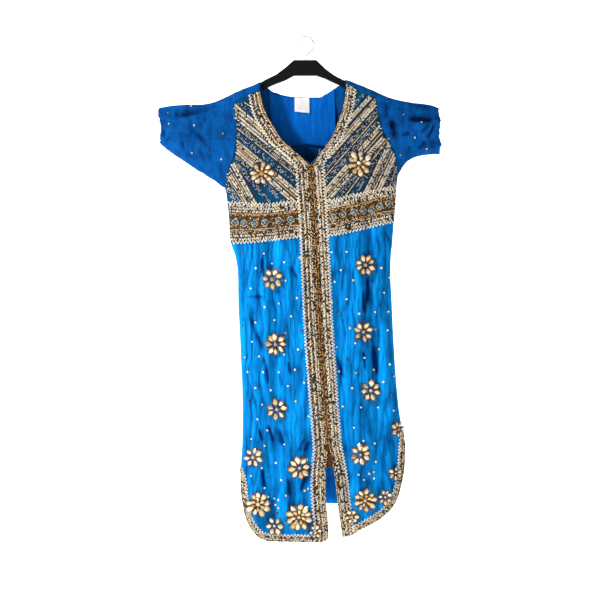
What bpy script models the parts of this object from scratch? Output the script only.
"""A short-sleeved blue kameez with raised gold trim, hanging on a plain black hanger.

Metres, +Z up, and the front faces -Y. The origin is where the hook rests on its rail.
Tables are in millimetres: x runs to the viewer's right, and drop is the distance down from the origin.
Sides are the viewer's left and right, seen from the front.
"""

import math
from typing import NamedTuple

import bmesh
import bpy
from mathutils import Vector
from mathutils.bvhtree import BVHTree

MM = 0.001
LEFT, RIGHT = "left", "right"
SIDES = (LEFT, RIGHT)
WAY = {LEFT: -1.0, RIGHT: 1.0}
FRONT, BACK = -1.0, 1.0

# Walls, gaps and trim, in millimetres.
CLOTH = 1.6
SEAM_GAP = 0.3
BAND_RAISE = 0.9
TRIM_THICK = 1.3
PLACKET_THICK = 1.0
FACING_THICK = 1.0
LABEL_THICK = 1.0
CREST = 13.0

# The hanger and its hook, in millimetres.
HANGER_HALF_THICK = 6.0
HANGER_EDGE = 1.6
HOOK_WIRE = 1.9
HOOK_RADIUS = 20.0
HOOK_STEPS = 18
HOOK_FIRST_ANGLE, HOOK_SWEEP = -50, 245
CROWN_TOP = 60.0

# How far the front and back edges part below the side slits, and how far down they reach that.
SLIT_SPREAD, SLIT_SPREAD_RUN = 4.0, 120
# Folds fade out towards the side edges: a higher number fades them later.
FOLD_FADE = 2.5

# The inner yoke at the neck and the label on it, in millimetres.
FACING_COLUMNS, FACING_ROWS = 14, 6
FACING_LEFT, FACING_WIDTH, FACING_FOOT = -88, 170, 279
FACING_WAVE, FACING_WAVE_TURNS = 3.5, 9
FACING_HANG, FACING_HANG_RUN = 7.0, 127
LABEL_SIZE, LABEL_STEPS = 39.0, 4
LABEL_LEFT, LABEL_TOP = -28.0, 152.8
LABEL_LEVEL_STEP, LABEL_CURL = 1.5, 2.5

# Along a sleeve, as shares of its length: where the armhole's shape ends, and where folds begin and end.
ARMHOLE_SHARE, ARMHOLE_POWER = 0.55, 1.5
SLEEVE_FOLD_EASE, SLEEVE_FOLD_START = 0.3, 0.25
CUFF_WAVE_START, CUFF_WAVE_PHASE = 0.6, 0.6

# How a flower finds its seat: spots for its normal, and rays onto the cloth from two rings.
SEAT_SPOTS, SEAT_SPOT_REACH = 8, 0.7
SEAT_RAYS, SEAT_RINGS = 48, (1.0, 0.6)
SEAT_NEAR, RAY_START, RAY_LENGTH = 30.0, 50.0, 90.0
SEAT_CLEARANCE = 0.05

# Grid steps: columns run from the centre to the side, rows from one seam to the next.
FRONT_COLUMNS = 20
TRIM_COLUMNS = 3
BODICE_ROWS, BODICE_V_ROW, BODICE_UNDERARM_ROW = 10, 3, 2
BAND_ROWS = 3
SKIRT_ROWS = 18
HEM_BLEND_COLUMNS, HEM_RISE_COLUMNS = 3, 4
BACK_COLUMNS, BACK_NECK_COLUMNS = 12, 7
BACK_ROWS, BACK_UNDERARM_ROW = 8, 2
BACK_SKIRT_ROWS = 12
ARCH_ROWS = 6
SLEEVE_STATIONS = 10
SIDE_CLUSTER = 1.35


class BodySection(NamedTuple):
    """A level of the body: its side edges, centre line and half depths."""

    drop: float
    left: float
    right: float
    centre: float
    front: float
    back: float


# Above the underarms the side edges lie out in the sleeves, which rounds the armholes.
BODY = [
    BodySection(drop=90, left=-290, right=300, centre=3, front=19, back=19),
    BodySection(drop=150, left=-290, right=300, centre=5, front=21, back=20),
    BodySection(drop=180, left=-288, right=298, centre=7, front=24, back=22),
    BodySection(drop=240, left=-280, right=290, centre=10, front=33, back=25),
    BodySection(drop=300, left=-264, right=268, centre=12, front=39, back=27),
    BodySection(drop=345, left=-241, right=247, centre=14, front=41, back=28),
    BodySection(drop=360, left=-232, right=240, centre=15, front=41, back=28),
    BodySection(drop=394, left=-209, right=236, centre=17, front=39, back=28),
    BodySection(drop=431, left=-201, right=233, centre=20, front=36, back=27),
    BodySection(drop=534, left=-194, right=226, centre=26, front=32, back=26),
    BodySection(drop=590, left=-176, right=220, centre=29, front=33, back=28),
    BodySection(drop=680, left=-175, right=224, centre=33, front=35, back=31),
    BodySection(drop=790, left=-170, right=229, centre=39, front=37, back=33),
    BodySection(drop=995, left=-163, right=246, centre=54, front=41, back=36),
    BodySection(drop=1060, left=-165, right=258, centre=59, front=42, back=37),
    BodySection(drop=1110, left=-168, right=257, centre=62, front=43, back=38),
    BodySection(drop=1160, left=-168, right=252, centre=66, front=44, back=39),
    BodySection(drop=1205, left=-166, right=248, centre=69, front=45, back=40),
    BodySection(drop=1310, left=-160, right=240, centre=74, front=45, back=40),
]


class Point(NamedTuple):
    """A point of the cut, in the plane that the viewer sees."""

    x: float
    drop: float


# The top of the cloth where it lies over the hanger.
RIDGE = [
    Point(-262, 174), Point(-248, 170), Point(-217, 157), Point(-186, 144.5), Point(-155, 131.5),
    Point(-122, 118.5), Point(-107, 109), Point(-95, 103), Point(95, 108), Point(110, 111.5), Point(142, 124),
    Point(173, 137), Point(204, 151.5), Point(222, 158), Point(240, 162),
]
SHOULDER_SEAM = {LEFT: 28.0, RIGHT: 17.0}

# The neckline, from the bottom of the V up to the shoulder seam.
V_BOTTOM = Point(13, 332)
NECKLINE = {
    LEFT: [Point(-5, 320), Point(-28, 301), Point(-57, 275), Point(-80, 240), Point(-99, 207), Point(-110, 178)],
    RIGHT: [Point(30, 314), Point(49, 291), Point(69, 262), Point(82, 227), Point(95, 191), Point(102, 155)],
}
NECK_SEAM_X = {LEFT: -117.0, RIGHT: 104.0}

# The armholes, from the underarm up to the shoulder seam.
UNDERARM = {LEFT: 394.0, RIGHT: 360.0}
ARMHOLE = {
    LEFT: [Point(-204, 356), Point(-190, 328), Point(-178, 291), Point(-178, 240), Point(-183, 205)],
    RIGHT: [Point(236, 322), Point(225, 294), Point(205, 262), Point(192, 228), Point(186, 195)],
}
ARMHOLE_SEAM_X = {LEFT: -187.0, RIGHT: 182.0}

# The back neckline, from the centre seam out to the shoulder, and the neck edge of the shoulder arch.
BACK_NECKLINE = {
    LEFT: [Point(40, 153.5), Point(-28, 152), Point(-54, 149), Point(-80, 142), Point(-97, 132)],
    RIGHT: [Point(40, 153.5), Point(58, 142), Point(76, 130)],
}
BACK_NECK_X = {LEFT: -107.0, RIGHT: 92.0}
BACK_WAIST_X = 30.0

# The waistband's upper and lower edges, from the centre to the side.
BAND_TOP = {
    LEFT: [Point(20, 430), Point(-30, 431), Point(-105, 437), Point(-150, 435), Point(-201, 431)],
    RIGHT: [Point(20, 430), Point(56, 429), Point(119, 415), Point(179, 401), Point(235, 389)],
}
BAND_FOOT = {
    LEFT: [Point(26, 517), Point(-3, 518), Point(-60, 524), Point(-105, 529), Point(-150, 533), Point(-194, 534)],
    RIGHT: [Point(26, 517), Point(56, 516), Point(119, 505), Point(179, 490), Point(229, 478)],
}

# Side slits, front slit and hems. Each front hem runs from the front slit round to the side slit.
SIDE_SLIT = {LEFT: 1130.0, RIGHT: 1030.0}
FRONT_SLIT_START = 1060.0
PLACKET_END = 1114.0
FRONT_SLIT = {
    LEFT: [Point(53, 1114), Point(51, 1156), Point(54, 1218), Point(60, 1262), Point(58, 1294)],
    RIGHT: [Point(70.5, 1114), Point(77, 1156), Point(83.5, 1218), Point(90, 1262), Point(95, 1291)],
}
FRONT_HEM = {
    LEFT: [
        Point(50, 1301), Point(33, 1303.5), Point(-15, 1304), Point(-92, 1303.5), Point(-115, 1298),
        Point(-135, 1280), Point(-154, 1247), Point(-163, 1205), Point(-167.5, 1160),
    ],
    RIGHT: [
        Point(116, 1287), Point(134, 1276), Point(179, 1254), Point(211, 1231), Point(234, 1202),
        Point(247, 1163), Point(256, 1108), Point(257.5, 1060),
    ],
}
BACK_HEM = {
    LEFT: [Point(30, 1218), Point(-40, 1216), Point(-95, 1209), Point(-135, 1193), Point(-158, 1165)],
    RIGHT: [Point(30, 1218), Point(100, 1217), Point(160, 1208), Point(205, 1188), Point(235, 1152), Point(252, 1100)],
}
PLACKET_HALF = 8.3
TRIM_REACH = {LEFT: 33.0, RIGHT: 28.5}
NECK_MARGIN = 1.0
HEM_TRIM_ROWS = 2
HEM_TRIM = 14.0
SHORT_STEP = 0.002


class Fold(NamedTuple):
    """A fold of the cloth: its run, the half width of its section, and how far it stands out (or in)."""

    x0: float
    drop0: float
    x1: float
    drop1: float
    width: float
    height: float


FRONT_FOLDS = [
    Fold(-83, 400, -78, 800, width=15, height=-11),
    Fold(-56, 520, -52, 900, width=18, height=6),
    Fold(-78, 740, -62, 1180, width=16, height=-8),
    Fold(-138, 600, -98, 1110, width=15, height=-7),
    Fold(-120, 560, -72, 1080, width=14, height=5),
    Fold(-98, 1040, -92, 1300, width=15, height=-9),
    Fold(-128, 1000, -124, 1290, width=16, height=6),
    Fold(-30, 1130, -24, 1300, width=14, height=-7),
    Fold(-2, 560, 12, 800, width=14, height=-4),
    Fold(20, 960, -2, 1240, width=15, height=-8),
    Fold(-46, 960, -50, 1300, width=17, height=6),
    Fold(8, 1120, 22, 1300, width=13, height=5),
    Fold(162, 380, 166, 760, width=14, height=-8),
    Fold(136, 500, 138, 900, width=16, height=4),
    Fold(82, 560, 92, 1000, width=15, height=-6),
    Fold(172, 700, 192, 1120, width=15, height=-7),
    Fold(200, 640, 222, 1060, width=14, height=5),
    Fold(92, 1060, 122, 1240, width=14, height=-8),
    Fold(112, 820, 128, 1180, width=16, height=5),
    Fold(164, 1080, 168, 1270, width=15, height=-6),
    Fold(226, 940, 232, 1170, width=12, height=-5),
]
BACK_FOLDS = [
    Fold(-110, 420, -104, 900, width=18, height=-8),
    Fold(-70, 560, -60, 1220, width=18, height=6),
    Fold(-20, 520, -14, 1230, width=18, height=-8),
    Fold(30, 620, 44, 1230, width=18, height=6),
    Fold(80, 500, 96, 1230, width=18, height=-9),
    Fold(128, 560, 140, 1200, width=18, height=6),
    Fold(170, 420, 186, 1150, width=17, height=-7),
    Fold(-130, 800, -126, 1180, width=16, height=5),
]
FOLD_EASE = 0.28


class Ring(NamedTuple):
    """A ring of a sleeve: its top, its underside and its half depth."""

    along: float
    top: Point
    foot: Point
    depth: float


SLEEVE = {
    LEFT: [
        Ring(0.36, Point(-249, 171), Point(-262, 358), 31),
        Ring(0.70, Point(-318, 174), Point(-322, 319), 33),
        Ring(0.90, Point(-361, 180), Point(-360, 292), 29),
        Ring(1.0, Point(-382, 185), Point(-376, 281), 26),
    ],
    RIGHT: [
        Ring(0.36, Point(240, 163), Point(266, 322), 30),
        Ring(0.70, Point(300, 172), Point(308, 306), 33),
        Ring(0.90, Point(332, 179), Point(337, 303), 30),
        Ring(1.0, Point(347, 186), Point(352, 304), 27),
    ],
}


class SleeveFold(NamedTuple):
    """A fold of a sleeve: its turn round the sleeve (0 top, 0.25 front, 0.5 underside) and its run along it."""

    turn0: float
    along0: float
    turn1: float
    along1: float
    width: float
    height: float


SLEEVE_FOLDS = {
    LEFT: [
        SleeveFold(0.12, 0.10, 0.10, 1.10, width=0.045, height=-7),
        SleeveFold(0.20, 0.45, 0.17, 1.15, width=0.04, height=-5),
        SleeveFold(0.36, 0.00, 0.30, 0.75, width=0.05, height=-6),
        SleeveFold(0.30, 0.50, 0.27, 1.15, width=0.04, height=5),
        SleeveFold(0.40, 0.40, 0.39, 1.15, width=0.045, height=-4),
        SleeveFold(0.66, 0.10, 0.70, 1.10, width=0.05, height=-6),
        SleeveFold(0.84, 0.20, 0.86, 1.15, width=0.05, height=-5),
    ],
    RIGHT: [
        SleeveFold(0.14, 0.15, 0.13, 1.15, width=0.045, height=-7),
        SleeveFold(0.22, 0.00, 0.27, 0.80, width=0.05, height=-7),
        SleeveFold(0.30, 0.40, 0.36, 1.15, width=0.045, height=-9),
        SleeveFold(0.24, 0.60, 0.22, 1.15, width=0.04, height=5),
        SleeveFold(0.42, 0.10, 0.43, 1.00, width=0.045, height=5),
        SleeveFold(0.66, 0.10, 0.70, 1.10, width=0.05, height=-6),
        SleeveFold(0.84, 0.20, 0.86, 1.15, width=0.05, height=-5),
    ],
}
CUFF_WAVES, CUFF_WAVE_HEIGHT = 6, 3.0


class Flower(NamedTuple):
    """A flower of cut stones: where it lies, its reach, its petals and its turn in degrees."""

    name: str
    x: float
    drop: float
    radius: float
    petals: int
    turn: float


FLOWERS = {
    LEFT: [
        Flower("bust_flower_left", -112, 358, 31, 9, 10),
        Flower("flower_left_1", -85, 630, 28, 7, 20),
        Flower("flower_left_2", -76, 797, 29, 8, 0),
        Flower("flower_left_3", -73, 964, 28, 7, 8),
        Flower("flower_left_4", -134, 1088, 26, 7, 30),
        Flower("flower_left_5", -17, 1113, 28, 8, 12),
        Flower("hem_flower_left_1", -122, 1208, 32, 9, 5),
        Flower("hem_flower_left_2", -78, 1263, 23, 6, 0),
        Flower("hem_flower_left_3", -16, 1239, 34, 10, 15),
        Flower("hem_flower_left_4", 25, 1275, 18, 6, 9),
    ],
    RIGHT: [
        Flower("bust_flower_right", 138, 332, 33, 9, 0),
        Flower("flower_right_1", 153, 593, 28, 8, 22),
        Flower("flower_right_2", 148, 765, 27, 7, 14),
        Flower("flower_right_3", 167, 916, 27, 7, 35),
        Flower("flower_right_4", 236, 1018, 21, 7, 0),
        Flower("flower_right_5", 140, 1079, 27, 8, 11),
        Flower("hem_flower_right_1", 152, 1197, 30, 9, 0),
        Flower("hem_flower_right_2", 204, 1190, 20, 7, 18),
        Flower("hem_flower_right_3", 230, 1130, 18, 6, 25),
        Flower("hem_flower_right_4", 118, 1238, 18, 6, 6),
    ],
}


class StoneRing(NamedTuple):
    """A ring of a flower: its reach and height at a petal and in the notch between two."""

    petal_reach: float
    notch_reach: float
    petal_height: float
    notch_height: float


STONE_RINGS = [
    StoneRing(petal_reach=0.30, notch_reach=0.24, petal_height=3.4, notch_height=2.8),
    StoneRing(petal_reach=0.66, notch_reach=0.42, petal_height=5.6, notch_height=2.2),
    StoneRing(petal_reach=1.00, notch_reach=0.56, petal_height=2.0, notch_height=1.6),
    StoneRing(petal_reach=1.00, notch_reach=0.56, petal_height=0.0, notch_height=0.0),
]
CENTRE_STONE = 6.2


class HangerSection(NamedTuple):
    """A section of the hanger's outline: its place and its upper and lower edges."""

    x: float
    top: float
    foot: float


HANGER = [
    HangerSection(-236, 176, 180), HangerSection(-230, 172, 186), HangerSection(-215, 163, 185),
    HangerSection(-186, 149, 170), HangerSection(-150, 132.9, 154), HangerSection(-122, 121.6, 142),
    HangerSection(-105, 111.5, 134), HangerSection(-77, 98, 121.5), HangerSection(-54, 81, 113),
    HangerSection(-31, 60.5, 101), HangerSection(-29, CROWN_TOP, 100.4), HangerSection(-1, CROWN_TOP, 100),
    HangerSection(27, CROWN_TOP, 100), HangerSection(29, 60.5, 100.4), HangerSection(51, 82, 108),
    HangerSection(74, 99, 119), HangerSection(97, 111.5, 128), HangerSection(112, 115.4, 134),
    HangerSection(142, 127.3, 147), HangerSection(173, 140.4, 160), HangerSection(200, 154, 172),
    HangerSection(216, 166, 176),
]

# The hook's shank, from the crown up to where the round of the hook begins.
HOOK_SHANK = [Point(0, 54), Point(1.5, 48.5), Point(6, 43.8)]


# Curves through short tables.


def spline(knots, values):
    """A smooth function through rising knots that never overshoots the values (a monotone cubic)."""
    spans = [b - a for a, b in zip(knots, knots[1:])]
    rates = [(b - a) / s for a, b, s in zip(values, values[1:], spans)]
    slopes = [rates[0]]
    for i in range(1, len(rates)):
        before, after = rates[i - 1], rates[i]
        if before * after <= 0:
            slopes.append(0.0)
            continue
        w0, w1 = 2 * spans[i] + spans[i - 1], spans[i] + 2 * spans[i - 1]
        slopes.append((w0 + w1) / (w0 / before + w1 / after))
    slopes.append(rates[-1])

    def at(knot):
        i = 0
        while i < len(spans) - 1 and knot > knots[i + 1]:
            i += 1
        s = min(max((knot - knots[i]) / spans[i], 0.0), 1.0)
        rise, square = values[i + 1] - values[i], s * s
        bend0 = s * (1 - s) ** 2 * slopes[i] * spans[i]
        bend1 = square * (s - 1) * slopes[i + 1] * spans[i]
        return values[i] + rise * square * (3 - 2 * s) + bend0 + bend1

    return at


def column_spline(table, key, field):
    """A smooth function from one named column of a table to another."""
    return spline([getattr(row, key) for row in table], [getattr(row, field) for row in table])


def path(points):
    """A smooth run through points of the cut, from 0 at the first to 1 at the last."""
    along = [0.0]
    for a, b in zip(points, points[1:]):
        along.append(along[-1] + math.hypot(b[0] - a[0], b[1] - a[1]))
    share = [a / along[-1] for a in along]
    x, drop = spline(share, [p[0] for p in points]), spline(share, [p[1] for p in points])
    return lambda t: Vector((x(t), drop(t)))


def chain(first, second, meet):
    """Two runs one after the other, which meet at the given share."""
    return lambda t: first(t / meet) if t <= meet else second((t - meet) / (1 - meet))


def patch(foot, top, inner, outer, u, v):
    """The point of a panel of cut, spanned between its four edges."""
    across = foot(u) * (1 - v) + top(u) * v
    along = inner(v) * (1 - u) + outer(v) * u
    corners = (foot(0) * (1 - u) + foot(1) * u) * (1 - v) + (top(0) * (1 - u) + top(1) * u) * v
    return across + along - corners


def ease(t):
    """A smooth step from 0 to 1."""
    t = min(max(t, 0.0), 1.0)
    return t * t * (3 - 2 * t)


LEFT_EDGE = column_spline(BODY, "drop", "left")
RIGHT_EDGE = column_spline(BODY, "drop", "right")
CENTRE_LINE = column_spline(BODY, "drop", "centre")
FRONT_DEPTH = column_spline(BODY, "drop", "front")
BACK_DEPTH = column_spline(BODY, "drop", "back")
RIDGE_LINE = column_spline(RIDGE, "x", "drop")


def edge_line(side):
    """The body's side edge as a function of drop."""
    return LEFT_EDGE if side == LEFT else RIGHT_EDGE


# The skin: the outer face of the worn cloth, before anything is moved out from it.


def fold_height(folds, x, drop):
    """How far the folds stand out at a point of the cut."""
    height = 0.0
    for fold in folds:
        along = (drop - fold.drop0) / (fold.drop1 - fold.drop0)
        if not 0 < along < 1:
            continue
        off = (x - fold.x0 - (fold.x1 - fold.x0) * along) / fold.width
        height += fold.height * math.exp(-off * off) * ease(along / FOLD_EASE) * ease((1 - along) / FOLD_EASE)
    return height


def slit_spread(side, drop):
    """How far the front and back edges part below the side slit."""
    return SLIT_SPREAD * ease((drop - SIDE_SLIT[side]) / SLIT_SPREAD_RUN)


def body_point(turn, drop, face):
    """The skin at a turn across the body: -90 degrees at the left edge, 90 at the right edge."""
    centre, s = CENTRE_LINE(drop), math.sin(turn)
    side = RIGHT if s >= 0 else LEFT
    x = centre + abs(edge_line(side)(drop) - centre) * s
    depth = FRONT_DEPTH(drop) if face == FRONT else BACK_DEPTH(drop)
    folds = FRONT_FOLDS if face == FRONT else BACK_FOLDS
    flat = math.cos(turn)
    fade = min(1.0, abs(flat) * FOLD_FADE) * (1 if flat >= 0 else -1)
    stand = depth * flat + fold_height(folds, x, drop) * fade
    stand += slit_spread(side, drop) * s**4 + SEAM_GAP / 2
    return Vector((x, face * stand, -drop))


def turn_of(cut):
    """The turn across the body of a point of the cut."""
    centre = CENTRE_LINE(cut.y)
    half = abs(edge_line(RIGHT if cut.x >= centre else LEFT)(cut.y) - centre)
    return math.asin(min(max((cut.x - centre) / half, -1.0), 1.0))


def body_normal(turn, drop, face):
    """The direction straight out of the cloth."""
    step_turn, step_drop = 0.01, 1.0
    across = body_point(turn + step_turn, drop, face) - body_point(turn - step_turn, drop, face)
    down = body_point(turn, drop + step_drop, face) - body_point(turn, drop - step_drop, face)
    return across.cross(down).normalized() * face


def skin(cut, face, out=0.0):
    """A point of the cut on the body, moved out from the skin, in millimetres."""
    turn = turn_of(cut)
    return body_point(turn, cut.y, face) + body_normal(turn, cut.y, face) * out


# Blender pieces.


def make_material(name, colour, roughness, metallic=0.0):
    material = bpy.data.materials.new(name)
    material.use_nodes = True
    shader = material.node_tree.nodes["Principled BSDF"]
    shader.inputs["Base Color"].default_value = (*colour, 1.0)
    shader.inputs["Roughness"].default_value = roughness
    shader.inputs["Metallic"].default_value = metallic
    return material


def finish_object(name, mesh, material, collection):
    mesh.materials.append(material)
    mesh.shade_smooth()
    mesh.set_sharp_from_angle(angle=math.radians(40))
    piece = bpy.data.objects.new(name, mesh)
    collection.objects.link(piece)
    return piece


def add_sheet(bm, outer, inner):
    """Lays a grid sheet on rows of outer points, and notes each one's inner point."""
    rows, columns = len(outer) - 1, len(outer[0]) - 1
    layer = bm.verts.layers.float_vector["inner"]
    made = bmesh.ops.create_grid(bm, x_segments=columns, y_segments=rows, size=1.0)
    for vertex in made["verts"]:
        i = round((vertex.co.x + 1) / 2 * columns)
        j = round((vertex.co.y + 1) / 2 * rows)
        vertex.co = outer[j][i] * MM
        vertex[layer] = inner[j][i] * MM


def wall(name, sheets, material, collection, weld=0.0, tube=False):
    """A cloth wall: sheets on the outer points, their twin on the inner points, and the rim between."""
    bm = bmesh.new()
    layer = bm.verts.layers.float_vector.new("inner")
    for outer, inner in sheets:
        add_sheet(bm, outer, inner)
    if weld or tube:
        bmesh.ops.remove_doubles(bm, verts=bm.verts, dist=max(weld, 0.01) * MM)
    bmesh.ops.triangulate(bm, faces=bm.faces, quad_method="FIXED")
    rim = [edge for edge in bm.edges if edge.is_boundary]
    made = bmesh.ops.duplicate(bm, geom=bm.verts[:] + bm.edges[:] + bm.faces[:])
    twins = made["vert_map"]
    copies = [item for item in made["geom"] if isinstance(item, bmesh.types.BMVert)]
    for vertex in copies:
        vertex.co = vertex[layer]
    for edge in rim:
        start, end = edge.verts
        loop = edge.link_loops[0]
        if loop.vert is not start:
            start, end = end, start
        bm.faces.new((end, start, twins[start], twins[end]))
    flipped = [item for item in made["geom"] if isinstance(item, bmesh.types.BMFace)]
    bmesh.ops.reverse_faces(bm, faces=flipped)
    bmesh.ops.triangulate(bm, faces=bm.faces)
    if bm.calc_volume(signed=True) < 0:
        bmesh.ops.reverse_faces(bm, faces=bm.faces)
    mesh = bpy.data.meshes.new(name)
    bm.to_mesh(mesh)
    bm.free()
    return finish_object(name, mesh, material, collection)


def skin_rows(cut_rows, face, out):
    """Rows of body points over rows of the cut. out is one number, or one for each row."""
    outs = out if isinstance(out, list) else [out] * len(cut_rows)
    return [[skin(cut, face, o) for cut in row] for row, o in zip(cut_rows, outs)]


def nudged(cut_rows, foot, top):
    """The rows with the first one and the last one moved down by these distances, to open seams."""
    moved = [list(row) for row in cut_rows]
    moved[0] = [Vector((c.x, c.y + foot)) for c in moved[0]]
    moved[-1] = [Vector((c.x, c.y + top)) for c in moved[-1]]
    return moved


# The cut of the front.


def seam_top(side):
    """The shoulder seam, from the neck to the armhole."""
    x0, x1 = NECK_SEAM_X[side], ARMHOLE_SEAM_X[side]
    steps = [x0 + (x1 - x0) * k / 4 for k in range(5)]
    return path([Point(x, RIDGE_LINE(x) + SHOULDER_SEAM[side]) for x in steps])


def centre_run(drop0, drop1, side):
    """The front's centre line, half a seam gap to one side."""
    drops = [drop0 + (drop1 - drop0) * k / 6 for k in range(7)]
    return path([Point(CENTRE_LINE(d) + WAY[side] * SEAM_GAP / 2, d) for d in drops])


def edge_run(drop0, drop1, side):
    """The body's side edge between two levels."""
    drops = [drop0 + (drop1 - drop0) * k / 8 for k in range(9)]
    return path([Point(edge_line(side)(d), d) for d in drops])


def on_centre_and_edge(table, side):
    """A waistband edge with its ends set on the centre line and the side edge."""
    first, last = table[0], table[-1]
    start = Point(CENTRE_LINE(first.drop) + WAY[side] * SEAM_GAP / 2, first.drop)
    end = Point(edge_line(side)(last.drop), last.drop)
    return [start, *table[1:-1], end]


def front_columns(stride, margin, side):
    """Shares of the columns: the trim's columns first, then closer and closer to the side.

    The stride is the distance that one whole share would cover at the centre edge."""
    reach = TRIM_REACH[side] - PLACKET_HALF + margin
    near = [0.0, margin / stride, (margin + reach) / 2 / stride, reach / stride]
    rest = FRONT_COLUMNS - TRIM_COLUMNS
    far = [near[-1] + (1 - near[-1]) * (1 - (1 - k / rest) ** SIDE_CLUSTER) for k in range(1, rest + 1)]
    return near + far


def front_cut(foot, top, inner, outer, rows, side, margins):
    """Rows of the cut of a front panel, from its foot to its top."""
    cut = []
    for v, margin in zip(rows, margins):
        start, near = (patch(foot, top, inner, outer, u, v) for u in (0.0, SHORT_STEP))
        shares = front_columns((near - start).length / SHORT_STEP, margin, side)
        cut.append([patch(foot, top, inner, outer, u, v) for u in shares])
    return cut


def bodice_cut(side):
    """The front bodice, from the waistband up to the shoulder seam."""
    foot = path(on_centre_and_edge(BAND_TOP[side], side))
    v_share = BODICE_V_ROW / BODICE_ROWS
    arm_share = BODICE_UNDERARM_ROW / BODICE_ROWS
    top = seam_top(side)
    band_side = BAND_TOP[side][-1].drop
    corner = Point(CENTRE_LINE(V_BOTTOM.drop) + WAY[side] * SEAM_GAP / 2, V_BOTTOM.drop)
    neck = path([corner, *NECKLINE[side], Point(*top(0))])
    inner = chain(centre_run(BAND_TOP[side][0].drop, V_BOTTOM.drop, side), neck, v_share)
    under = Point(edge_line(side)(UNDERARM[side]), UNDERARM[side])
    armhole = path([under, *ARMHOLE[side], Point(*top(1))])
    outer = chain(edge_run(band_side, UNDERARM[side], side), armhole, arm_share)
    rows = [j / BODICE_ROWS for j in range(BODICE_ROWS + 1)]
    margins = [PLACKET_HALF if j <= BODICE_V_ROW else NECK_MARGIN for j in range(BODICE_ROWS + 1)]
    return front_cut(foot, top, inner, outer, rows, side, margins)


def band_cut(side):
    """The waistband, from its foot to its top."""
    foot = path(on_centre_and_edge(BAND_FOOT[side], side))
    top = path(on_centre_and_edge(BAND_TOP[side], side))
    inner = centre_run(BAND_FOOT[side][0].drop, BAND_TOP[side][0].drop, side)
    outer = edge_run(BAND_FOOT[side][-1].drop, BAND_TOP[side][-1].drop, side)
    rows = [j / BAND_ROWS for j in range(BAND_ROWS + 1)]
    return front_cut(foot, top, inner, outer, rows, side, [PLACKET_HALF] * len(rows))


def hem_rows(side):
    """The hem, and the row that runs level with it one trim's width further in."""
    slit = FRONT_SLIT[side]
    slit_top = SIDE_SLIT[side]
    points = [slit[-1], *FRONT_HEM[side], Point(edge_line(side)(slit_top), slit_top)]
    length = sum(math.hypot(b.x - a.x, b.drop - a.drop) for a, b in zip(points, points[1:]))
    hem = path(points)
    shares = front_columns(length, PLACKET_HALF, side)
    slit_edge = path(list(reversed(slit)))
    slit_length = slit[-1].drop - slit[0].drop
    by_slit = slit_edge(HEM_TRIM / slit_length) - slit_edge(0)
    row = []
    for k, u in enumerate(shares):
        run = hem(min(u + SHORT_STEP, 1)) - hem(max(u - SHORT_STEP, 0))
        inward = Vector((run.y, -run.x)).normalized() * WAY[side]
        blend = min(max((k - TRIM_COLUMNS) / HEM_BLEND_COLUMNS, 0.0), 1.0)
        rise = min(max((k - FRONT_COLUMNS) / HEM_RISE_COLUMNS + 1, 0.0), 1.0) ** 2
        inward = inward * (1 - rise) + Vector((0, -rise))
        row.append(hem(u) + inward * HEM_TRIM * blend + by_slit * (1 - blend))
    row[-1] = Vector((edge_line(side)(slit_top - HEM_TRIM), slit_top - HEM_TRIM))
    return [hem(u) for u in shares], row


def skirt_cut(side):
    """The front skirt, from the hem up to the waistband. The hem's last stretch runs up to the side slit."""
    hem, level = hem_rows(side)
    start = BAND_FOOT[side][0].drop
    meet = Point(CENTRE_LINE(FRONT_SLIT_START) + WAY[side] * SEAM_GAP / 2, FRONT_SLIT_START)
    edge = path([level[0], *reversed(FRONT_SLIT[side][:-1]), meet])
    share = (level[0].y - FRONT_SLIT_START) / (level[0].y - start)
    inner = chain(edge, centre_run(FRONT_SLIT_START, start, side), share)
    outer = edge_run(level[-1].y, BAND_FOOT[side][-1].drop, side)
    top = path(on_centre_and_edge(BAND_FOOT[side], side))
    rest = SKIRT_ROWS - HEM_TRIM_ROWS
    rows = [j / rest for j in range(1, rest + 1)]
    upper = front_cut(path(level), top, inner, outer, rows, side, [PLACKET_HALF] * rest)
    between = [(a + b) / 2 for a, b in zip(hem, level)]
    return [hem, between, level, *upper]


# The cut of the back.


def back_shares():
    return [1 - (1 - k / BACK_COLUMNS) ** SIDE_CLUSTER for k in range(BACK_COLUMNS + 1)]


def waist_run(side):
    """The back's waist seam, from the centre seam to the side."""
    table = BAND_FOOT[side]
    end = Point(edge_line(side)(table[-1].drop), table[-1].drop)
    middle = Point((BACK_WAIST_X + end.x) / 2, (table[0].drop + end.drop) / 2 + 2)
    return path([Point(BACK_WAIST_X + WAY[side] * SEAM_GAP / 2, table[0].drop), middle, end])


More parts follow.
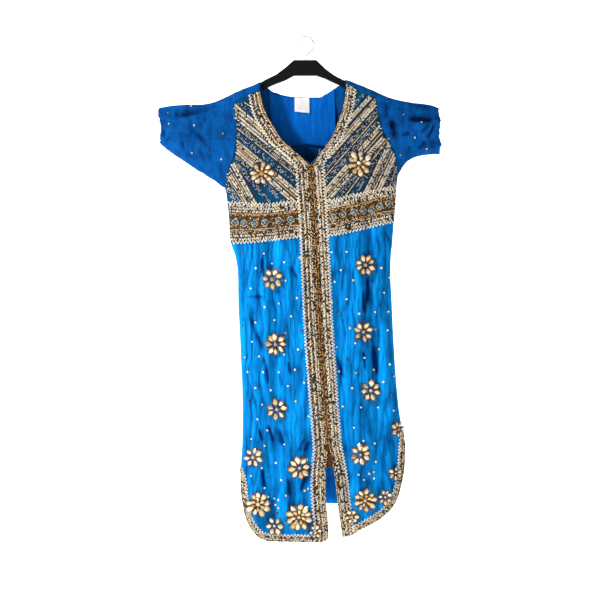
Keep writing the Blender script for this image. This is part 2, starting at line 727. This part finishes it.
def back_cut(side):
    """A back bodice half, from the waist seam up to the neckline and the foot of the shoulder arch."""
    gap = WAY[side] * SEAM_GAP / 2
    foot = waist_run(side)
    line = BACK_NECKLINE[side]
    arch_x0, arch_x1 = BACK_NECK_X[side], ARMHOLE_SEAM_X[side]
    arch_foot = [arch_x0 + (arch_x1 - arch_x0) * k / 4 for k in range(5)]
    arch = path([Point(x, RIDGE_LINE(x) + CREST) for x in arch_foot])
    neck = path([Point(line[0].x + gap, line[0].drop), *line[1:], Point(*arch(0))])
    top = chain(neck, arch, back_shares()[BACK_NECK_COLUMNS])
    inner = path([Point(*foot(0)), Point(BACK_WAIST_X + 4 + gap, 340), Point(*neck(0))])
    under = Point(edge_line(side)(UNDERARM[side]), UNDERARM[side])
    armhole = path([under, *ARMHOLE[side], Point(*arch(1))])
    arm_share = BACK_UNDERARM_ROW / BACK_ROWS
    outer = chain(edge_run(BAND_FOOT[side][-1].drop, UNDERARM[side], side), armhole, arm_share)
    rows = [j / BACK_ROWS for j in range(BACK_ROWS + 1)]
    return [[patch(foot, top, inner, outer, u, v) for u in back_shares()] for v in rows]


def arch_rows(side, foot, out):
    """The shoulder arch, from its foot on the back over the hanger and down to the front's shoulder seam."""
    spread = [(cut.x - foot[0].x) / (foot[-1].x - foot[0].x) for cut in foot]
    neck_x = spline([0, 0.5, 1], [BACK_NECK_X[side], NECK_SEAM_X[side] + WAY[side], NECK_SEAM_X[side]])
    rows = []
    for j in range(ARCH_ROWS + 2):
        if j == 0:
            rows.append([skin(cut, BACK, out) for cut in foot])
            continue
        over, seam = min(j / ARCH_ROWS, 1.0), j > ARCH_ROWS
        places = [neck_x(over) + (ARMHOLE_SEAM_X[side] - neck_x(over)) * share for share in spread]
        rows.append([arch_point(side, x, over, seam, out) for x in places])
    return rows


def arch_point(side, x, over, seam, out):
    """A point of the shoulder arch, moved out: over runs from 0 at the back to 1 at the front."""
    ridge = RIDGE_LINE(x)
    if seam:
        return skin(Vector((x, ridge + SHOULDER_SEAM[side] - SEAM_GAP)), FRONT, out)
    if over == 1:
        return skin(Vector((x, ridge + CREST)), FRONT, out)
    angle = math.pi * over
    face = BACK if over <= 0.5 else FRONT
    depth = abs(skin(Vector((x, ridge + CREST)), face).y)
    normal = Vector((0, math.cos(angle) / depth, math.sin(angle) / CREST)).normalized()
    return Vector((x, depth * math.cos(angle), CREST * math.sin(angle) - ridge - CREST)) + normal * out


def back_skirt_cut():
    """The back skirt, from its hem up to the waist seam, and from the left side to the right side."""
    waist = {side: waist_run(side) for side in SIDES}
    hem = {}
    for side in SIDES:
        end = Point(edge_line(side)(SIDE_SLIT[side]), SIDE_SLIT[side])
        hem[side] = path([*BACK_HEM[side], end])

    def both(runs):
        return lambda u: runs[LEFT](1 - 2 * u) if u <= 0.5 else runs[RIGHT](2 * u - 1)

    inner = edge_run(SIDE_SLIT[LEFT], BAND_FOOT[LEFT][-1].drop, LEFT)
    outer = edge_run(SIDE_SLIT[RIGHT], BAND_FOOT[RIGHT][-1].drop, RIGHT)
    shares = back_shares()
    columns = [0.5 - s / 2 for s in reversed(shares)] + [0.5 + s / 2 for s in shares[1:]]
    rows = [j / BACK_SKIRT_ROWS for j in range(BACK_SKIRT_ROWS + 1)]
    return [[patch(both(hem), both(waist), inner, outer, u, v) for u in columns] for v in rows]


# The cloth.


def make_front(side, cloth, trim_cloth, collection):
    """The front bodice, waistband and skirt of one side. Returns the cut of each."""
    bodice, band, skirt = bodice_cut(side), band_cut(side), skirt_cut(side)
    half = SEAM_GAP / 2
    cuts = {"bodice": nudged(bodice, -half, 0), "band": nudged(band, -half, half), "skirt": nudged(skirt, 0, half)}
    for name, raised, material in (
        ("bodice", BAND_RAISE * 0.5, trim_cloth), ("band", BAND_RAISE, trim_cloth), ("skirt", 0.0, cloth),
    ):
        sheet = (skin_rows(cuts[name], FRONT, raised), skin_rows(cuts[name], FRONT, -CLOTH))
        title = {"bodice": "front_bodice", "band": "waistband", "skirt": "front_skirt"}[name]
        wall(f"{title}_{side}", [sheet], material, collection)
    return {"bodice": bodice, "band": band, "skirt": skirt}


def trim_lift(part, row, rows):
    """How far the trim's underside stands off the skin, which clears the waistband and the bodice stitching."""
    if part == "band" or (part == "skirt" and row == rows - 1) or (part == "bodice" and row == 0):
        return BAND_RAISE + SEAM_GAP
    return SEAM_GAP + (BAND_RAISE * 0.5 if part == "bodice" else 0.0)


def stacked(cuts, first_column, last_column):
    """Rows of the cut from the hem to the shoulder over the trim's columns, with the trim's lift for each."""
    rows, lifts = [], []
    for part in ("skirt", "band", "bodice"):
        cut = cuts[part]
        start = 0 if part == "skirt" else 1
        for j in range(start, len(cut)):
            rows.append(cut[j][first_column : last_column + 1])
            last = len(cut) if part == "skirt" else len(cut) + 1
            lifts.append(trim_lift(part, j, last))
    return rows, lifts


def make_trim(side, cuts, material, collection):
    """The trim down the neckline and the front edge, and the trim round the hem."""
    rows, lifts = stacked(cuts, 1, TRIM_COLUMNS)
    way = WAY[side] * SEAM_GAP / 2
    rows = [[Vector((row[0].x + way, row[0].y)), *row[1:]] for row in rows]
    rows[-1] = [Vector((c.x, c.y + SEAM_GAP)) for c in rows[-1]]
    outer = skin_rows(rows, FRONT, [lift + TRIM_THICK for lift in lifts])
    wall(f"front_trim_{side}", [(outer, skin_rows(rows, FRONT, lifts))], material, collection)
    hem = [row[TRIM_COLUMNS:] for row in cuts["skirt"][: HEM_TRIM_ROWS + 1]]
    hem = [[Vector((row[0].x + WAY[side] * SEAM_GAP, row[0].y)), *row[1:]] for row in hem]
    outer = skin_rows(hem, FRONT, SEAM_GAP + TRIM_THICK)
    wall(f"hem_trim_{side}", [(outer, skin_rows(hem, FRONT, SEAM_GAP))], material, collection)


def make_placket(cuts, material, collection):
    """The fastening strip over the front opening, from its foot up to the bottom of the V."""
    left, lifts = stacked(cuts[LEFT], 0, 1)
    right, _ = stacked(cuts[RIGHT], 0, 1)
    top_row = SKIRT_ROWS + BAND_ROWS + BODICE_V_ROW
    rows, kept = [], []
    for j in range(top_row + 1):
        if left[j][0].y > PLACKET_END:
            continue
        middle = (left[j][0] + right[j][0]) / 2
        gap = Vector((SEAM_GAP / 2, 0))
        rows.append([left[j][1] + gap, middle, right[j][1] - gap])
        kept.append(lifts[j])
    outer = skin_rows(rows, FRONT, [lift + PLACKET_THICK for lift in kept])
    wall("placket", [(outer, skin_rows(rows, FRONT, kept))], material, collection)


def make_back(cloth, collection):
    """The two back bodice halves with their shoulder arches, and the back skirt."""
    half = SEAM_GAP / 2
    rows = {}
    for side in SIDES:
        cut = back_cut(side)
        cut[0] = [Vector((c.x, c.y - half)) for c in cut[0]]
        sheets = [(skin_rows(cut, BACK, 0), skin_rows(cut, BACK, -CLOTH))]
        arch_foot = cut[-1][BACK_NECK_COLUMNS:]
        sheets.append((arch_rows(side, arch_foot, 0), arch_rows(side, arch_foot, -CLOTH)))
        for outer, inner in sheets:
            if side == RIGHT:
                outer[:], inner[:] = [r[::-1] for r in outer], [r[::-1] for r in inner]
        wall(f"back_bodice_{side}", sheets, cloth, collection, weld=0.05)
        rows[side] = cut
    skirt = back_skirt_cut()
    skirt[-1] = [Vector((c.x, c.y + half)) for c in skirt[-1]]
    wall("back_skirt", [(skin_rows(skirt, BACK, 0), skin_rows(skirt, BACK, -CLOTH))], cloth, collection)
    return rows


def make_facing(material, collection):
    """The inner yoke at the back of the neck. It hangs free below, so it stands in from the back."""
    neck = {side: path([*BACK_NECKLINE[side]]) for side in SIDES}
    columns = []
    for k in range(FACING_COLUMNS + 1):
        u = k / FACING_COLUMNS
        top = neck[LEFT](1 - 2 * u) if u <= 0.5 else neck[RIGHT](2 * u - 1)
        wave = FACING_WAVE * math.sin(FACING_WAVE_TURNS * u)
        foot = Vector((FACING_LEFT + FACING_WIDTH * u, FACING_FOOT + wave))
        columns.append((top, foot))
    rows, depths = [], []
    for j in range(FACING_ROWS + 1):
        v = j / FACING_ROWS
        rows.append([foot * (1 - v) + top * v for top, foot in columns])
        depths.append(CLOTH + SEAM_GAP + FACING_HANG * ease(1 - v))
    outer = skin_rows(rows, BACK, [-d for d in depths])
    inner = skin_rows(rows, BACK, [-d - FACING_THICK for d in depths])
    wall("neck_facing", [(outer, inner)], material, collection)


def make_label(material, collection):
    """The blank sewn-in label at the back of the neck."""
    rows, depths = [], []
    under = CLOTH + 2 * SEAM_GAP + FACING_THICK
    for j in range(LABEL_STEPS + 1):
        fall = 1 - j / LABEL_STEPS
        drop = LABEL_TOP + LABEL_SIZE * fall
        row = []
        for i in range(LABEL_STEPS + 1):
            row.append(Vector((LABEL_LEFT + LABEL_SIZE * i / LABEL_STEPS, drop + (i - LABEL_LEVEL_STEP) * fall)))
        rows.append(row)
        hang = FACING_HANG * ease((drop - LABEL_TOP) / FACING_HANG_RUN)
        depths.append(under + hang + LABEL_CURL * fall**2)
    outer = skin_rows(rows, BACK, [-d for d in depths])
    inner = skin_rows(rows, BACK, [-d - LABEL_THICK for d in depths])
    wall("neck_label", [(outer, inner)], material, collection)


# The sleeves.


def armhole_ring(side, bodice, back, out):
    """Points round the armhole: the top, down the front to the underarm, and up the back."""
    arch = [row[-1] for row in arch_rows(side, back[-1][BACK_NECK_COLUMNS:], out)]
    front = [skin(row[-1], FRONT, out) for row in bodice[BODICE_UNDERARM_ROW:-1]]
    rear = [skin(row[-1], BACK, out) for row in back[BACK_UNDERARM_ROW:-1]]
    middle = ARCH_ROWS // 2
    over_front, over_back = arch[middle:], arch[:middle]
    underarm = (front[0] + rear[0]) / 2
    return over_front + front[:0:-1] + [underarm] + rear[1:] + over_back


def ring_frame(ring):
    """A sleeve ring's centre and half height, from its top and underside."""
    top = Vector((ring.top.x, 0, -ring.top.drop))
    foot = Vector((ring.foot.x, 0, -ring.foot.drop))
    return (top + foot) / 2, (top - foot) / 2


def sleeve_fold_height(side, turn, along):
    """How far a sleeve's folds and cuff gathers stand out."""
    swell = ease((along - CUFF_WAVE_START) / (1 - CUFF_WAVE_START))
    height = CUFF_WAVE_HEIGHT * math.sin(CUFF_WAVES * math.tau * turn + CUFF_WAVE_PHASE) * swell
    for fold in SLEEVE_FOLDS[side]:
        t = (along - fold.along0) / (fold.along1 - fold.along0)
        if 0 < t < 1:
            off = (turn - fold.turn0 - (fold.turn1 - fold.turn0) * t) / fold.width
            ends = ease(t / SLEEVE_FOLD_EASE) * ease((1 - t) / SLEEVE_FOLD_EASE)
            height += fold.height * math.exp(-off * off) * ends
    return height * ease(along / SLEEVE_FOLD_START)


def sleeve_rings(side, root):
    """The sleeve's outer points, ring by ring, from the armhole to the cuff."""
    underarm = min(range(len(root)), key=lambda j: root[j].z)
    centre, half = (root[0] + root[underarm]) / 2, (root[0] - root[underarm]) / 2
    angles = []
    for j, point in enumerate(root):
        angle = math.acos(min(max((point - centre).dot(half) / half.length_squared, -1.0), 1.0))
        angles.append(angle if j <= underarm else math.tau - angle)
    depth = max(abs(p.y) for p in root)
    along = [0.0] + [ring.along for ring in SLEEVE[side]]
    frames = [(centre, half)] + [ring_frame(ring) for ring in SLEEVE[side]]
    depths = [depth] + [ring.depth for ring in SLEEVE[side]]
    parts = [[f[k][axis] for f in frames] for k in (0, 1) for axis in (0, 2)]
    centre_x, centre_z, half_x, half_z = (spline(along, part) for part in parts)
    depth_at = spline(along, depths)
    rings = []
    for i in range(SLEEVE_STATIONS):
        t = i / (SLEEVE_STATIONS - 1)
        keep = max(0.0, 1 - t / ARMHOLE_SHARE) ** ARMHOLE_POWER
        row = []
        for point, angle in zip(root, angles):
            first = centre + half * math.cos(angle) + Vector((0, -depth * math.sin(angle), 0))
            up = Vector((half_x(t), 0, half_z(t)))
            out = Vector((0, -1, 0)) * math.sin(angle) + up.normalized() * math.cos(angle)
            place = Vector((centre_x(t), 0, centre_z(t))) + up * math.cos(angle)
            place += Vector((0, -depth_at(t) * math.sin(angle), 0))
            height = sleeve_fold_height(side, angle / math.tau, t)
            row.append(place + (point - first) * keep + out * height)
        rings.append(row)
    return rings


def make_sleeve(side, bodice, back, material, collection):
    """A short sleeve, a tube from the armhole to the gathered cuff."""
    outer_root = armhole_ring(side, bodice, back, 0)
    inner_root = armhole_ring(side, bodice, back, -CLOTH)
    count = len(outer_root)
    away = []
    for j in range(count):
        normal = outer_root[j] - inner_root[j]
        along = outer_root[(j + 1) % count] - outer_root[j - 1]
        step = normal.cross(along).normalized()
        away.append(step if step.dot(Vector((WAY[side], 0, 0.5))) > 0 else -step)
    rings = sleeve_rings(side, [p + a * SEAM_GAP for p, a in zip(outer_root, away)])
    inner = []
    for i, ring in enumerate(rings):
        row = []
        for j, point in enumerate(ring):
            round_way = ring[(j + 1) % count] - ring[j - 1]
            long_way = rings[min(i + 1, len(rings) - 1)][j] - rings[max(i - 1, 0)][j]
            normal = round_way.cross(long_way).normalized()
            if normal.dot(point - sum(ring, Vector()) / count) < 0:
                normal.negate()
            inward = inner_root[j] - outer_root[j] if i == 0 else -normal * CLOTH
            row.append(point + inward)
        inner.append(row)
    closed = [[*row, row[0]] for row in rings], [[*row, row[0]] for row in inner]
    wall(f"sleeve_{side}", [closed], material, collection, tube=True)


# The flowers of cut stones.


def seat_of(flower, supports):
    """The plane that a flower's flat back lies in: its centre and normal, just clear of what carries it."""
    spots = [Vector((0, 0))]
    for k in range(SEAT_SPOTS):
        angle = math.tau * k / SEAT_SPOTS
        spots.append(Vector((math.cos(angle), math.sin(angle))) * flower.radius * SEAT_SPOT_REACH)
    normals = Vector()
    for spot in spots:
        cut = Vector((flower.x, flower.drop)) + spot
        normals += body_normal(turn_of(cut), cut.y, FRONT)
    normal = normals.normalized()
    centre = skin(Vector((flower.x, flower.drop)), FRONT) * MM
    across = Vector((0, 0, 1)).cross(normal).normalized()
    up = normal.cross(across)
    reach = flower.radius * MM
    highest = -1.0
    for tree, points in supports:
        for point in points:
            rel = point - centre
            height = rel.dot(normal)
            if abs(height) < SEAT_NEAR * MM and (rel - normal * height).length < reach:
                highest = max(highest, height)
        for k in range(SEAT_RAYS * len(SEAT_RINGS)):
            angle, share = math.tau * k / SEAT_RAYS, SEAT_RINGS[k // SEAT_RAYS]
            off = (across * math.cos(angle) + up * math.sin(angle)) * reach * share
            hit = tree.ray_cast(centre + off + normal * RAY_START * MM, -normal, RAY_LENGTH * MM)[0]
            if hit:
                highest = max(highest, (hit - centre).dot(normal))
    return centre + normal * (highest + (SEAM_GAP + SEAT_CLEARANCE) * MM), normal, across, up


def make_flower(flower, supports, material, collection):
    """A flower with a raised centre stone and pointed petals on a flat back."""
    seat, normal, across, up = seat_of(flower, supports)
    bm = bmesh.new()
    bmesh.ops.create_uvsphere(bm, u_segments=2 * flower.petals, v_segments=len(STONE_RINGS) + 1, radius=1.0)
    turn = math.radians(flower.turn)
    for vertex in bm.verts:
        level = round(math.acos(min(max(vertex.co.z, -1.0), 1.0)) / math.pi * (len(STONE_RINGS) + 1))
        if level in (0, len(STONE_RINGS) + 1):
            vertex.co = seat + normal * (CENTRE_STONE if level == 0 else 0.0) * MM
            continue
        ring = STONE_RINGS[level - 1]
        angle = math.atan2(vertex.co.y, vertex.co.x)
        petal = round(angle / (math.pi / flower.petals)) % 2 == 0
        reach = flower.radius * (ring.petal_reach if petal else ring.notch_reach) * MM
        height = (ring.petal_height if petal else ring.notch_height) * MM
        flat = across * math.cos(angle + turn) + up * math.sin(angle + turn)
        vertex.co = seat + flat * reach + normal * height
    if bm.calc_volume(signed=True) < 0:
        bmesh.ops.reverse_faces(bm, faces=bm.faces)
    mesh = bpy.data.meshes.new(flower.name)
    bm.to_mesh(mesh)
    bm.free()
    finish_object(flower.name, mesh, material, collection)


def make_flowers(material, collection):
    """Every flower, seated on the panels and trims of its side."""
    for side in SIDES:
        supports = []
        for title in ("front_bodice", "front_skirt", "hem_trim", "front_trim"):
            mesh = bpy.data.objects[f"{title}_{side}"].data
            points = [v.co.copy() for v in mesh.vertices]
            tree = BVHTree.FromPolygons(points, [tuple(p.vertices) for p in mesh.polygons])
            supports.append((tree, points))
        for flower in FLOWERS[side]:
            make_flower(flower, supports, material, collection)


# The hanger.


def make_hanger(material, collection):
    """The hanger's body: its outline, filled to its thickness, with softened edges."""
    curve = bpy.data.curves.new("hanger", "CURVE")
    curve.dimensions = "2D"
    curve.fill_mode = "BOTH"
    curve.extrude = HANGER_HALF_THICK * MM
    outline = [(s.x, -s.top) for s in HANGER] + [(s.x, -s.foot) for s in reversed(HANGER)]
    line = curve.splines.new("POLY")
    line.points.add(len(outline) - 1)
    for point, (x, z) in zip(line.points, outline):
        point.co = (x * MM, z * MM, 0, 1)
    line.use_cyclic_u = True
    flat = bpy.data.objects.new("hanger_outline", curve)
    collection.objects.link(flat)
    bpy.context.view_layer.update()
    mesh = bpy.data.meshes.new_from_object(flat.evaluated_get(bpy.context.evaluated_depsgraph_get()))
    bpy.data.objects.remove(flat)
    bm = bmesh.new()
    bm.from_mesh(mesh)
    bmesh.ops.remove_doubles(bm, verts=bm.verts, dist=0.01 * MM)
    bmesh.ops.recalc_face_normals(bm, faces=bm.faces)
    bm.to_mesh(mesh)
    bm.free()
    hanger = finish_object("hanger", mesh, material, collection)
    hanger.rotation_euler = (math.pi / 2, 0, 0)
    edge = hanger.modifiers.new("softened edge", "BEVEL")
    edge.width = HANGER_EDGE * MM
    edge.segments = 1
    edge.limit_method = "ANGLE"
    edge.angle_limit = math.radians(50)


def make_hook(material, collection):
    """The wire hook: a shank up from the crown that bends out and over the rail."""
    centre = HOOK_RADIUS + HOOK_WIRE
    points = [(0, -CROWN_TOP + SEAM_GAP)] + [(bend.x, -bend.drop) for bend in HOOK_SHANK]
    for k in range(HOOK_STEPS + 1):
        angle = math.radians(HOOK_FIRST_ANGLE + HOOK_SWEEP * k / HOOK_STEPS)
        points.append((centre * math.cos(angle), centre * math.sin(angle) - HOOK_RADIUS))
    curve = bpy.data.curves.new("hanger_hook", "CURVE")
    curve.dimensions = "3D"
    curve.bevel_depth = HOOK_WIRE * MM
    curve.bevel_resolution = 2
    curve.use_fill_caps = True
    curve.materials.append(material)
    line = curve.splines.new("POLY")
    line.points.add(len(points) - 1)
    for point, (x, z) in zip(line.points, points):
        point.co = (x * MM, 0, z * MM, 1)
    hook = bpy.data.objects.new("hanger_hook", curve)
    collection.objects.link(hook)


def main():
    for item in list(bpy.data.objects):
        bpy.data.objects.remove(item)
    kameez = bpy.data.collections.new("kameez")
    bpy.context.scene.collection.children.link(kameez)
    blue = make_material("blue_cotton", (0.0, 0.18, 0.62), 0.8)
    gold = make_material("gold_embroidery", (0.55, 0.42, 0.24), 0.5, 0.5)
    dark_gold = make_material("antique_gold", (0.36, 0.22, 0.1), 0.5, 0.5)
    stone = make_material("gold_stones", (0.75, 0.6, 0.35), 0.25, 0.6)
    white = make_material("label_satin", (0.8, 0.78, 0.78), 0.6)
    black = make_material("black_plastic", (0.01, 0.012, 0.014), 0.45)
    steel = make_material("hook_steel", (0.6, 0.6, 0.6), 0.25, 1.0)
    cuts = {side: make_front(side, blue, gold, kameez) for side in SIDES}
    for side in SIDES:
        make_trim(side, cuts[side], gold, kameez)
    make_placket(cuts, dark_gold, kameez)
    back = make_back(blue, kameez)
    for side in SIDES:
        make_sleeve(side, cuts[side]["bodice"], back[side], blue, kameez)
    make_facing(blue, kameez)
    make_label(white, kameez)
    make_flowers(stone, kameez)
    make_hanger(black, kameez)
    make_hook(steel, kameez)


main()
